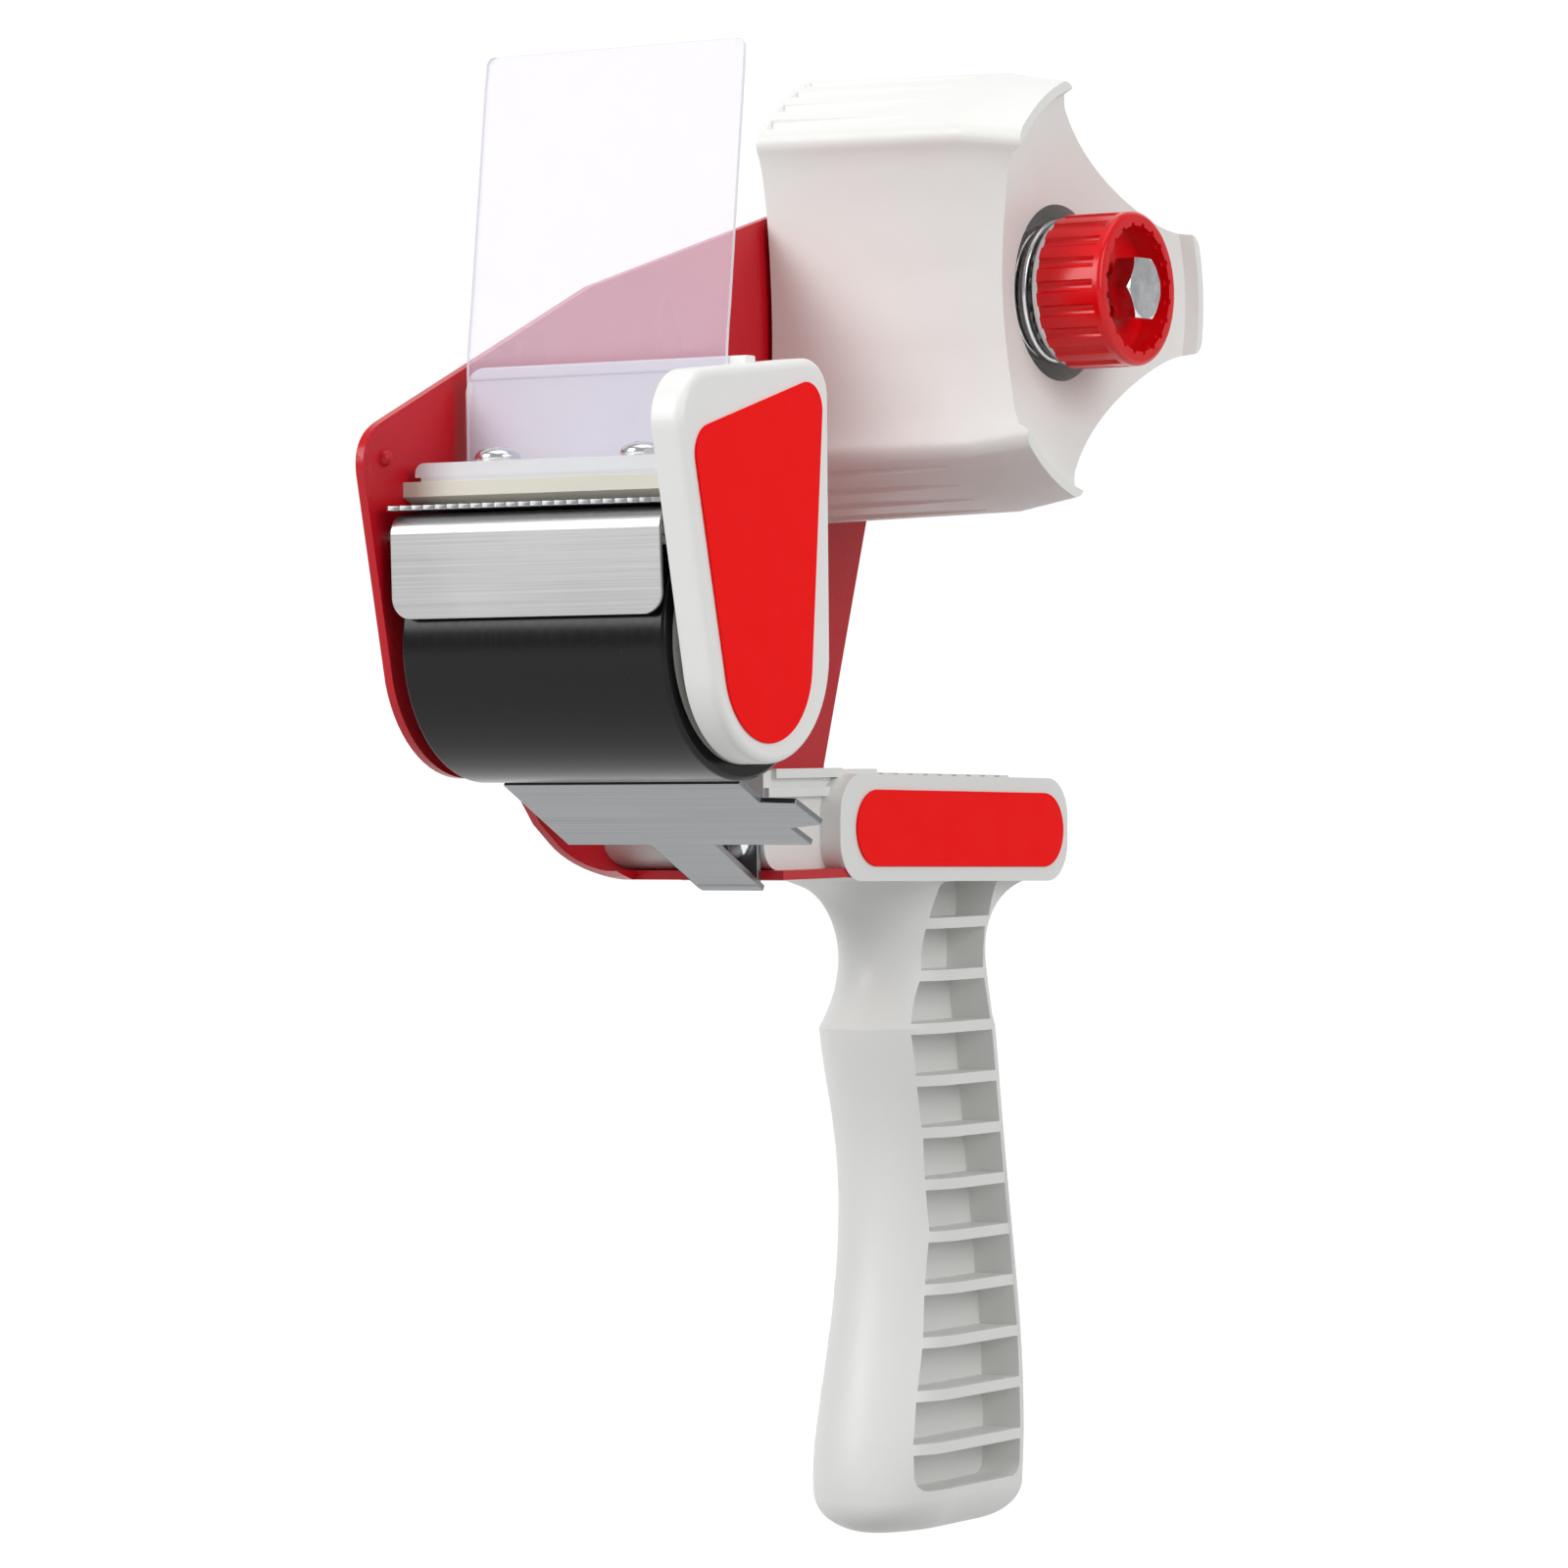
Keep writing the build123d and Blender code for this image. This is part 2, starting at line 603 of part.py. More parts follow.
with BuildPart() as axle_nut:
    with BuildSketch(side(COVER_IN + 3.3)):
        with Locations((ROLLER_X, ROLLER_Z)):
            RegularPolygon(M6_FLATS / 2, 6, major_radius=False)
            Circle(M6_R + 0.02, mode=Mode.SUBTRACT)
    extrude(amount=3.2)
save(axle_nut.part, "axle_nut")

with BuildPart() as axle_spacers:
    for high, length in ((PLATE_IN + 2.3, 2.3), (COVER_IN, 1.1)):
        with BuildSketch(side(high)):
            with Locations((ROLLER_X, ROLLER_Z)):
                Circle(7.0)
                Circle(AXLE_R + 0.06 if high < 0 else M6_R + 0.06, mode=Mode.SUBTRACT)
        extrude(amount=length)
save(axle_spacers.part, "axle_spacers")

# ---- folded guide plate under the roller ----
slope = math.radians(GUIDE_SLOPE)
guide_plane = Plane(
    (GUIDE_TOP[0], 0, GUIDE_TOP[1]),
    x_dir=(0, 1, 0),
    z_dir=(-math.sin(slope), 0, math.cos(slope)),
)
TAB_END = 36.4
with BuildPart() as guide_plate:
    # drawn flat on the slope: local x is Y, local y runs down the slope
    with BuildSketch(guide_plane):
        with BuildLine():
            Polyline(
                (-24.6, 0),
                (19.4, 0),
                (19.6, 6.2),
                (25.9, 6.5),
                (26.8, 13.6),
                (20.4, 14.8),
                (21.2, 20.4),
                (3.2, 20.4),
                (3.2, TAB_END),
                (-8.4, TAB_END),
                (-8.9, 20.4),
                (-24.6, 20.4),
                (-24.6, 0),
            )
        make_face()
    extrude(amount=GUIDE_T)
    with BuildSketch(side(3.2)):
        with Locations((TBAR_FRONT + GUIDE_T / 2, -92.2)):
            Rectangle(GUIDE_T, 11.6)
    extrude(amount=11.6)
    with Locations(Location((TBAR_FRONT + GUIDE_T, *GUIDE_SCREW), (0, 90, 0))):
        Hole(1.8, depth=GUIDE_T)
save(guide_plate.part, "guide_plate")

screw_face = Plane((TBAR_FRONT + GUIDE_T, *GUIDE_SCREW), x_dir=(0, 1, 0), z_dir=(1, 0, 0))
save(screw_along(screw_face, 3.3, 2.2, 1.5, 9.0), "guide_screw")

# ---- tape hub ----
def lobe_point(radius, angle):
    return Vector(radius, 0).rotate(Axis.Z, angle)


def hub_profile(tip, valley):
    """Three-lobed outline: arcs on the lobes, hollows that drop behind their edges and run flat between."""
    with BuildSketch() as profile:
        with BuildLine():
            for lobe in LOBE_ANGLES:
                a0 = lobe - LOBE_HALF
                a1 = lobe + LOBE_HALF
                a2 = lobe + 120.0 - LOBE_HALF
                middle = lobe + 60.0
                start = lobe_point(tip, a1)
                end = lobe_point(tip, a2)
                floor = (4.0 * valley - tip * math.cos(math.radians(middle - a1))) / 3.0
                reach = tip * math.sin(math.radians(middle - a1)) * HOLLOW_WIDTH
                ThreePointArc(lobe_point(tip, a0), lobe_point(tip, lobe), start)
                Bezier(
                    start,
                    Vector(floor, -reach).rotate(Axis.Z, middle),
                    Vector(floor, reach).rotate(Axis.Z, middle),
                    end,
                )
        make_face()
        fillet(profile.vertices(), LOBE_EDGE)
    return profile.sketch


with BuildPart() as hub:
    taper_y = HUB_Y1 - LEAD_IN
    for y0, y1, tip0, tip1, valley0, valley1 in (
        (HUB_Y0, taper_y, HUB_R, HUB_R_FREE, VALLEY_R, VALLEY_R - 0.4),
        (taper_y, HUB_Y1, HUB_R_FREE, HUB_R_END, VALLEY_R - 0.4, VALLEY_R - 2.4),
    ):
        with BuildSketch(side(y0)):
            add(hub_profile(tip0, valley0))
        with BuildSketch(side(y1)):
            add(hub_profile(tip1, valley1))
        loft()
    # dished open end and the spring's pocket
    with BuildSketch(Plane.XY):
        with BuildLine():
            Polyline(
                (0, POCKET_FLOOR),
                (POCKET_R, POCKET_FLOOR),
                (POCKET_R, POCKET_MOUTH),
                (DISH_R - 3.4, HUB_Y1 - DISH_STEP - 0.6),
                (DISH_R - 1.0, HUB_Y1 - DISH_STEP + 0.6),
                (DISH_R, HUB_Y1),
                (DISH_R, HUB_Y1 + 1.0),
                (0, HUB_Y1 + 1.0),
                (0, POCKET_FLOOR),
            )
        make_face()
    revolve(axis=Axis.Y, mode=Mode.SUBTRACT)
    with BuildSketch(side(HUB_Y1)):
        Circle(SLEEVE_R + 0.05)
    extrude(amount=HUB_Y1 - HUB_Y0, mode=Mode.SUBTRACT)
    # grip grooves along each lobe, stopped short of the end lip
    for lobe in LOBE_ANGLES:
        for step in (-1.5, -0.5, 0.5, 1.5):
            spot = lobe_point(HUB_R + 0.25, lobe + 7.2 * step)
            with BuildSketch(side(8.0)):
                with Locations((spot.X, spot.Y)):
                    Circle(GROOVE_R + 0.5)
            extrude(amount=8.0 - HUB_Y0 - LIP_T, mode=Mode.SUBTRACT)
save(hub.part, "hub")

with BuildPart() as hub_sleeve:
    with BuildSketch(side(POCKET_FLOOR + 1.0)):
        Circle(SLEEVE_R)
        Circle(M6_R + 0.06, mode=Mode.SUBTRACT)
    extrude(amount=POCKET_FLOOR + 1.0 - HUB_Y0)
save(hub_sleeve.part, "hub_sleeve")

with BuildPart() as friction_washer:
    with BuildSketch(side(HUB_Y0)):
        Circle(WASHER_R)
        Circle(M6_R + 0.1, mode=Mode.SUBTRACT)
    extrude(amount=HUB_Y0 - PLATE_IN - 0.02)
save(friction_washer.part, "friction_washer")

with BuildPart() as hub_bolt:
    with BuildSketch(side(HEAD_OUT)):
        RegularPolygon(M6_FLATS / 2, 6, major_radius=False)
    extrude(amount=HEAD_H)
    with BuildSketch(Plane.XY):
        with BuildLine():
            Polyline((4.9, HEAD_OUT + 0.1), (8.0, HEAD_OUT + 0.1), (8.0, HEAD_OUT - 1.6), (4.9, HEAD_OUT + 0.1))
        make_face()
    revolve(axis=Axis.Y, mode=Mode.SUBTRACT)
    with BuildSketch(side(HEAD_OUT - HEAD_H)):
        Circle(M6_R)
    extrude(amount=HEAD_OUT - HEAD_H - PLATE_OUT + 6.2)
save(hub_bolt.part, "hub_bolt")

with BuildPart() as hub_nut:
    with BuildSketch(side(PLATE_OUT)):
        RegularPolygon(M6_FLATS / 2, 6, major_radius=False)
        Circle(M6_R + 0.02, mode=Mode.SUBTRACT)
    extrude(amount=5.0)
save(hub_nut.part, "hub_nut")

# ---- brake: spring, washer, knob and its nut ----
with BuildPart() as thrust_washer:
    with BuildSketch(side(KNOB_Y0)):
        Circle(KNOB_R - 0.4)
        Circle(M6_R + 0.1, mode=Mode.SUBTRACT)
    extrude(amount=WASHER_T)
save(thrust_washer.part, "thrust_washer")

with BuildPart() as tension_spring:
    with BuildSketch(Plane.XY):
        with BuildLine():
            Polyline(
                (7.4, POCKET_FLOOR),
                (9.0, POCKET_FLOOR),
                (12.6, KNOB_Y0 - WASHER_T),
                (11.0, KNOB_Y0 - WASHER_T),
                (7.4, POCKET_FLOOR),
            )
        make_face()
    revolve(axis=Axis.Y)
save(tension_spring.part, "tension_spring")

with BuildPart() as tension_knob:
    with BuildSketch(side(KNOB_Y1)):
        Circle(KNOB_R)
    extrude(amount=KNOB_Y1 - KNOB_Y0)
    rim = tension_knob.edges().filter_by(GeomType.CIRCLE).sort_by(Axis.Y)[-1]
    fillet(rim, 0.9)
    with BuildSketch(side(KNOB_Y1 - 1.7)):
        with PolarLocations(KNOB_R + 0.5, KNOB_FLUTES):
            Circle(1.15)
    extrude(amount=KNOB_Y1, mode=Mode.SUBTRACT)
    with BuildSketch(side(KNOB_Y1)):
        Circle(KNOB_CUP_R)
    extrude(amount=KNOB_Y1 - KNOB_FLOOR, mode=Mode.SUBTRACT)
    with BuildSketch(side(KNOB_Y1)):
        with PolarLocations(KNOB_CUP_R, KNOB_FLUTES, start_angle=9.0):
            Circle(0.55)
    extrude(amount=1.0, mode=Mode.SUBTRACT)
    with BuildSketch(side(KNOB_Y1)):
        Circle(M6_R + 0.1)
    extrude(amount=KNOB_Y1 - KNOB_Y0, mode=Mode.SUBTRACT)
    with BuildSketch(side(KNOB_Y0 + 5.0)):
        RegularPolygon(M6_FLATS / 2 + 0.02, 6, major_radius=False)
    extrude(amount=5.0, mode=Mode.SUBTRACT)
save(tension_knob.part, "tension_knob")

with BuildPart() as knob_nut:
    with BuildSketch(side(KNOB_Y0 + 5.0)):
        RegularPolygon(M6_FLATS / 2, 6, major_radius=False)
        Circle(M6_R + 0.05, mode=Mode.SUBTRACT)
    extrude(amount=5.0)
save(knob_nut.part, "knob_nut")
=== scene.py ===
import math
import json
import bmesh
import bpy
from mathutils import Vector, Matrix


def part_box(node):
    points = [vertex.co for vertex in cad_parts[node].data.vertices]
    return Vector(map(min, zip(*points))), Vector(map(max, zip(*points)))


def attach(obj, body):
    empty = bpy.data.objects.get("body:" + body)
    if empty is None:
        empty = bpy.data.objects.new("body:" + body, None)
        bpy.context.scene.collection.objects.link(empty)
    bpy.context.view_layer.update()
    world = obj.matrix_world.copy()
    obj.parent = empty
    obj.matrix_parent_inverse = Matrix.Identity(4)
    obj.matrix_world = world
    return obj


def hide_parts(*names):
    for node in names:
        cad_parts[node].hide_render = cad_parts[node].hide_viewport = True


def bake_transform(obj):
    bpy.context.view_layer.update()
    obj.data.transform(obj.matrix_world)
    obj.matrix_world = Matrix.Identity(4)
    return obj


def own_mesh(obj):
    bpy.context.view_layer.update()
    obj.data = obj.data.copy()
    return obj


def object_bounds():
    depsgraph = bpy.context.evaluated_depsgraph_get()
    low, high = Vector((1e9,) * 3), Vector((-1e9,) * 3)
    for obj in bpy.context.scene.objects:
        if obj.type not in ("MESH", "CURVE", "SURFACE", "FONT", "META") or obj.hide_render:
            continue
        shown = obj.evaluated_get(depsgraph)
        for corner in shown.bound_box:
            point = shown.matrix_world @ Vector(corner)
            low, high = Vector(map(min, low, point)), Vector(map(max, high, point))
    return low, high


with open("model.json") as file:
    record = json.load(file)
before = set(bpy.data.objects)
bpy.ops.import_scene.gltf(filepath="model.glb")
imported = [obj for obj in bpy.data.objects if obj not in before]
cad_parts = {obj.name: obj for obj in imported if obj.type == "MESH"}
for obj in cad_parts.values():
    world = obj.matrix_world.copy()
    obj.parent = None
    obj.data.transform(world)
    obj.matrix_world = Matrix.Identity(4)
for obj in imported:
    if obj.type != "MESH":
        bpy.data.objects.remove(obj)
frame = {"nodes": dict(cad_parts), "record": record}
cad_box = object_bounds()
MM = 0.001
EYE = Vector((0.916911, 0.542046, -0.074857))
HEADING = 32.390  # where the eye stands, degrees round from +X


# ---- camera, at the eye's place beside and ahead of the dispenser ----
def look_from(place, heading, pitch, roll, lens):
    """A camera at place (m) looking back along heading (degrees from +X), tipped by pitch and roll."""
    h, p, r = (math.radians(a) for a in (heading, pitch, roll))
    back = Vector((math.cos(h) * math.cos(p), math.sin(h) * math.cos(p), math.sin(p)))
    right = Vector((-math.sin(h), math.cos(h), 0))
    up = back.cross(right)
    right, up = (
        right * math.cos(r) + up * math.sin(r),
        up * math.cos(r) - right * math.sin(r),
    )
    data = bpy.data.cameras.new("eye")
    data.lens = lens
    data.sensor_width = 36.0
    data.clip_start = 0.05
    data.clip_end = 20
    camera = bpy.data.objects.new("eye", data)
    bpy.context.scene.collection.objects.link(camera)
    camera.matrix_world = Matrix.Translation(place) @ Matrix((right, up, back)).transposed().to_4x4()
    bpy.context.scene.camera = camera
    return camera


look_from(EYE, HEADING, 0.3839, -0.5774, 144.44)


# ---- small tools for node trees ----
class Tree:
    """Adds and links nodes in a material's tree."""

    def __init__(self, name):
        self.material = bpy.data.materials.new(name)
        self.material.use_nodes = True
        self.nodes = self.material.node_tree.nodes
        self.links = self.material.node_tree.links
        self.shader = self.nodes["Principled BSDF"]

    def add(self, kind, settings=None, **inputs):
        node = self.nodes.new(kind)
        for key, value in (settings or {}).items():
            setattr(node, key, value)
        for key, value in inputs.items():
            self.put(node, key.replace("_", " "), value)
        return node

    def put(self, node, key, value):
        socket = node.inputs[key]
        if isinstance(value, bpy.types.NodeSocket):
            self.links.new(value, socket)
        else:
            socket.default_value = value

    def ramp(self, value, *stops):
        """Colours spread over a value, from two (position, colour) stops."""
        node = self.nodes.new("ShaderNodeValToRGB")
        for element, (at, colour) in zip(node.color_ramp.elements, stops):
            element.position = at
            element.color = (*colour, 1)
        self.links.new(value, node.inputs["Fac"])
        return node.outputs["Color"]

    def place(self, scale=(1, 1, 1)):
        """Object coordinates, stretched by scale."""
        coords = self.nodes.new("ShaderNodeTexCoord")
        mapping = self.nodes.new("ShaderNodeMapping")
        mapping.inputs["Scale"].default_value = scale
        self.links.new(coords.outputs["Object"], mapping.inputs["Vector"])
        return mapping.outputs["Vector"]

    def noise(self, scale, detail=3.0, where=None, rough=0.5):
        """Noise with scale cells to the metre, or to the unit of the coordinates given as where."""
        node = self.add("ShaderNodeTexNoise", Scale=scale, Detail=detail, Roughness=rough)
        self.links.new(where or self.place(), node.inputs["Vector"])
        return node.outputs["Fac"]

    def spread(self, value, low, high, from_low=0.3, from_high=0.7):
        """The value's middle range stretched to run from low to high."""
        node = self.add(
            "ShaderNodeMapRange",
            Value=value,
            From_Min=from_low,
            From_Max=from_high,
            To_Min=low,
            To_Max=high,
        )
        return node.outputs["Result"]

    def bump(self, height, strength, distance, under=None):
        node = self.add("ShaderNodeBump", Height=height, Strength=strength, Distance=distance)
        if under:
            self.links.new(under, node.inputs["Normal"])
        return node.outputs["Normal"]

    def set(self, **inputs):
        """Sets the shader's own sockets."""
        for key, value in inputs.items():
            self.put(self.shader, key.replace("_", " "), value)
        return self.material


# ---- finishes ----
def moulded(name, colour, shade, rough, grain=0.05, gloss=0.5):
    """Moulded plastic: fine satin grain, faint flow marks and slight unevenness in colour."""
    t = Tree(name)
    flow = t.noise(14.0, 3.0, t.place((1, 1, 0.35)))
    t.set(Base_Color=t.ramp(flow, (0.3, shade), (0.7, colour)))
    t.set(Roughness=t.spread(t.noise(160.0, 4.0), rough - 0.05, rough + 0.06))
    fine = t.noise(2600.0, 2.0)
    broad = t.noise(90.0, 3.0)
    t.set(Normal=t.bump(fine, grain, 0.0002, t.bump(broad, 0.05, 0.0006)))
    t.set(IOR=1.5)
    t.shader.inputs["Specular IOR Level"].default_value = gloss
    return t.material


def enamel(name, colour, shade):
    """Gloss enamel on sheet steel, with the slight orange peel of a sprayed coat."""
    t = Tree(name)
    t.set(Base_Color=t.ramp(t.noise(9.0, 3.0), (0.3, shade), (0.7, colour)))
    t.set(Roughness=t.spread(t.noise(60.0, 4.0), 0.24, 0.34))
    t.set(Normal=t.bump(t.noise(420.0, 2.0), 0.08, 0.0003))
    t.set(IOR=1.5)
    t.shader.inputs["Specular IOR Level"].default_value = 0.3
    return t.material


def brushed(name, colour, shade, rough, along, lines=5200.0):
    """Steel brushed in straight hair lines along one axis (0 is X, 1 is Y, 2 is Z)."""
    t = Tree(name)
    stretch = [lines, lines, lines]
    stretch[along] = 18.0
    grain = t.noise(1.0, 3.0, t.place(tuple(stretch)), 0.7)
    smear = t.noise(30.0, 3.0)
    t.set(Metallic=1.0)
    t.set(Base_Color=t.ramp(grain, (0.2, shade), (0.8, colour)))
    t.set(Roughness=t.spread(smear, rough - 0.03, rough + 0.05))
    t.set(Normal=t.bump(grain, 0.22, 0.00003))
    return t.material


def plated(name, colour, shade, rough):
    """Bright zinc plate with faint clouding and handling marks."""
    t = Tree(name)
    cloud = t.noise(120.0, 4.0)
    t.set(Metallic=1.0)
    t.set(Base_Color=t.ramp(cloud, (0.3, shade), (0.7, colour)))
    t.set(Roughness=t.spread(t.noise(420.0, 5.0), rough - 0.05, rough + 0.1))
    t.set(Normal=t.bump(t.noise(900.0, 3.0), 0.12, 0.00008))
    return t.material


def rubber_black(name):
    """Smooth black roller cover with a fine turned finish and a few specks of dust."""
    t = Tree(name)
    rings = t.noise(1.0, 4.0, t.place((60.0, 2200.0, 60.0)))
    dust = t.noise(1500.0, 4.0, None, 0.7)
    t.set(Base_Color=t.ramp(dust, (0.66, (0.006, 0.006, 0.007)), (0.80, (0.05, 0.05, 0.055))))
    t.set(Roughness=t.spread(rings, 0.17, 0.23))
    t.set(Normal=t.bump(rings, 0.05, 0.00004))
    t.set(IOR=1.5)
    t.shader.inputs["Specular IOR Level"].default_value = 0.22
    return t.material


def clear_sheet(name, colour, alpha, rough=0.16):
    """Thin clear plastic with a faint violet cast, fine scuffs and the shine of a smooth sheet."""
    t = Tree(name)
    scuff = t.noise(240.0, 6.0, None, 0.7)
    faded = tuple(c * 0.96 for c in colour)
    t.set(Base_Color=t.ramp(t.noise(26.0, 3.0), (0.3, faded), (0.7, colour)))
    t.set(Roughness=t.spread(scuff, rough, rough + 0.12, 0.45, 0.8))
    t.set(Normal=t.bump(t.noise(30.0, 2.0), 0.04, 0.0005))
    t.set(IOR=1.45, Alpha=alpha)
    return t.material


FINISH = {
    "red_enamel": enamel("red enamel", (0.56, 0.005, 0.014), (0.48, 0.003, 0.010)),
    "handle_white": moulded("handle plastic", (0.790, 0.795, 0.775), (0.750, 0.755, 0.735), 0.42),
    "badge_red": moulded("badge insert", (1.0, 0.002, 0.002), (0.96, 0.001, 0.001), 0.6, 0.02, 0.08),
    "zinc": plated("zinc plate", (0.80, 0.81, 0.82), (0.62, 0.63, 0.65), 0.18),
    "cover_white": moulded("cover plastic", (0.880, 0.878, 0.860), (0.845, 0.842, 0.825), 0.36),
    "bar_ivory": moulded("bar plastic", (0.74, 0.72, 0.62), (0.68, 0.66, 0.57), 0.4),
    "blade_steel": brushed("blade steel", (0.68, 0.68, 0.69), (0.40, 0.40, 0.41), 0.28, 0),
    "brushed": brushed("brushed steel", (0.54, 0.54, 0.54), (0.34, 0.34, 0.34), 0.33, 1),
    "nylon": moulded("nylon", (0.62, 0.61, 0.57), (0.55, 0.54, 0.50), 0.5),
    "spring_steel": plated("spring wire", (0.74, 0.74, 0.75), (0.50, 0.50, 0.51), 0.2),
    "roller_black": rubber_black("roller rubber"),
    "hub_white": moulded("hub plastic", (0.860, 0.865, 0.840), (0.830, 0.835, 0.810), 0.42),
    "knob_red": moulded("knob plastic", (0.80, 0.001, 0.006), (0.72, 0.001, 0.005), 0.22, 0.02, 0.35),
    "clear_strip": clear_sheet("clear strip", (0.93, 0.94, 0.97), 0.8, 0.3),
    "clear_flap": clear_sheet("clear flap", (0.78, 0.73, 0.90), 0.25),
}
GUIDE_STEEL = brushed("guide steel", (0.34, 0.35, 0.36), (0.20, 0.21, 0.22), 0.38, 1)
# The flap's edge faces get a whiter, nearly opaque finish: a painted highlight standing for the light the
# clear sheet's edges catch.
FLAP_EDGE_HIGHLIGHT = clear_sheet("painted highlight on the flap's edges", (0.86, 0.86, 0.90), 0.8, 0.3)
SLOT_OF = {s["node"]: s["material_slot"] for s in frame["record"]["subparts"]}
WELD = 2e-6  # corners nearer than this are one, m


# ---- mesh helpers ----
def new_piece(name, mesh):
    piece = bpy.data.objects.new(name, mesh)
    bpy.context.scene.collection.objects.link(piece)
    return piece


def apply_modifiers(piece):
    """Turns the piece's modifiers into plain mesh."""
    graph = bpy.context.evaluated_depsgraph_get()
    mesh = bpy.data.meshes.new_from_object(piece.evaluated_get(graph))
    old = piece.data
    piece.modifiers.clear()
    piece.data = mesh
    bpy.data.meshes.remove(old)


def shade(mesh):
    """Smooth faces with sharp corners."""
    for face in mesh.polygons:
        face.use_smooth = True
    mesh.set_sharp_from_angle(angle=math.radians(32.0))


def welded(node):
    """The CAD node's triangles with their corners joined, as a bmesh."""
    work = bmesh.new()
    work.from_mesh(frame["nodes"][node].data)
    bmesh.ops.remove_doubles(work, verts=work.verts, dist=WELD)
    return work


def body_of(node):
    bodies = frame["record"]["behaviour"]["bodies"]
    return next(body for body, nodes in bodies.items() if node in nodes)


def stand_in(piece, node):
    """Rides a finished piece on its node's body, in the node's place and finish."""
    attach(piece, body_of(node))
    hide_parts(node)


def refined(node, edge, segments):
    """A copy of a CAD node with its flat faces joined and its edges rounded, standing for the node."""
    mesh = frame["nodes"][node].data.copy()
    work = welded(node)
    bmesh.ops.dissolve_limit(
        work,
        angle_limit=math.radians(1.5),
        use_dissolve_boundaries=False,
        verts=work.verts,
        edges=work.edges,
    )
    work.to_mesh(mesh)
    work.free()
    piece = new_piece(node + ".fine", mesh)
    round_edges = piece.modifiers.new("edges", "BEVEL")
    round_edges.width = edge
    round_edges.segments = segments
    round_edges.limit_method = "ANGLE"
    round_edges.angle_limit = math.radians(28.0)
    round_edges.use_clamp_overlap = True
    apply_modifiers(piece)
    shade(piece.data)
    even = piece.modifiers.new("even normals", "WEIGHTED_NORMAL")
    even.keep_sharp = True
    even.weight = 60
    apply_modifiers(piece)
    piece.data.materials.clear()
    piece.data.materials.append(GUIDE_STEEL if node == "guide_plate" else FINISH[SLOT_OF[node]])
    stand_in(piece, node)


# ---- trees for what repeats or winds ----
def geometry_tree(name, **sockets):
    """A geometry tree with the named inputs, and its first and last nodes."""
    tree = bpy.data.node_groups.new(name, "GeometryNodeTree")
    tree.interface.new_socket("Geometry", in_out="INPUT", socket_type="NodeSocketGeometry")
    for label, kind in sockets.items():
        tree.interface.new_socket(label.replace("_", " "), in_out="INPUT", socket_type="NodeSocket" + kind)
    tree.interface.new_socket("Geometry", in_out="OUTPUT", socket_type="NodeSocketGeometry")
    return tree, tree.nodes.new("NodeGroupInput"), tree.nodes.new("NodeGroupOutput")


def feed(tree, kind, settings=None, **inputs):
    """Adds a node; an input is an output socket to join or a plain value."""
    node = tree.nodes.new(kind)
    for key, value in (settings or {}).items():
        setattr(node, key, value)
    for key, value in inputs.items():
        socket = node.inputs[key.replace("_", " ")]
        if isinstance(value, bpy.types.NodeSocket):
            tree.links.new(value, socket)
        else:
            socket.default_value = value
    return node


def finish_tree(tree, given, last, geometry):
    """Ends a tree with plain geometry in its finish."""
    whole = feed(tree, "GeometryNodeRealizeInstances", Geometry=geometry)
    painted = feed(
        tree, "GeometryNodeSetMaterial", Geometry=whole.outputs["Geometry"], Material=given.outputs["Finish"]
    )
    tree.links.new(painted.outputs["Geometry"], last.inputs["Geometry"])


def coil_tree():
    """A wound spring: round wire along a spiral, stood where it belongs."""
    tree, given, last = geometry_tree(
        "wound spring",
        Turns="Float",
        Start_Radius="Float",
        End_Radius="Float",
        Length="Float",
        Wire_Radius="Float",
        Place="Vector",
        Turn="Vector",
        Finish="Material",
    )
    out = given.outputs
    line = feed(
        tree,
        "GeometryNodeCurveSpiral",
        Resolution=44,
        Rotations=out["Turns"],
        Start_Radius=out["Start Radius"],
        End_Radius=out["End Radius"],
        Height=out["Length"],
    )
    wire = feed(tree, "GeometryNodeCurvePrimitiveCircle", Resolution=14, Radius=out["Wire Radius"])
    wound = feed(
        tree,
        "GeometryNodeCurveToMesh",
        Curve=line.outputs["Curve"],
        Profile_Curve=wire.outputs["Curve"],
        Fill_Caps=True,
    )
    stood = feed(
        tree,
        "GeometryNodeTransform",
        Geometry=wound.outputs["Mesh"],
        Translation=out["Place"],
        Rotation=out["Turn"],
    )
    finish_tree(tree, given, last, stood.outputs["Geometry"])
    return tree


def repeat_tree():
    """One shape set at every point of a mesh, facing one way."""
    tree, given, last = geometry_tree("repeated hardware", Shape="Object", Facing="Vector", Finish="Material")
    shape = feed(tree, "GeometryNodeObjectInfo", Object=given.outputs["Shape"])
    facing = feed(tree, "FunctionNodeAlignRotationToVector", {"axis": "Z"}, Vector=given.outputs["Facing"])
    spots = feed(tree, "GeometryNodeMeshToPoints", Mesh=given.outputs["Geometry"])
    placed = feed(
        tree,
        "GeometryNodeInstanceOnPoints",
        Points=spots.outputs["Points"],
        Instance=shape.outputs["Geometry"],
        Rotation=facing.outputs["Rotation"],
    )
    finish_tree(tree, given, last, placed.outputs["Instances"])
    return tree


def grow(piece, tree, **values):
    """Runs a geometry tree on a piece and keeps the plain mesh."""
    modifier = piece.modifiers.new(tree.name, "NODES")
    modifier.node_group = tree
    for item in tree.interface.items_tree:
        key = item.name.replace(" ", "_")
        if item.in_out == "INPUT" and key in values:
            modifier[item.identifier] = values[key]
    apply_modifiers(piece)
    recalculate(piece.data)
    return piece


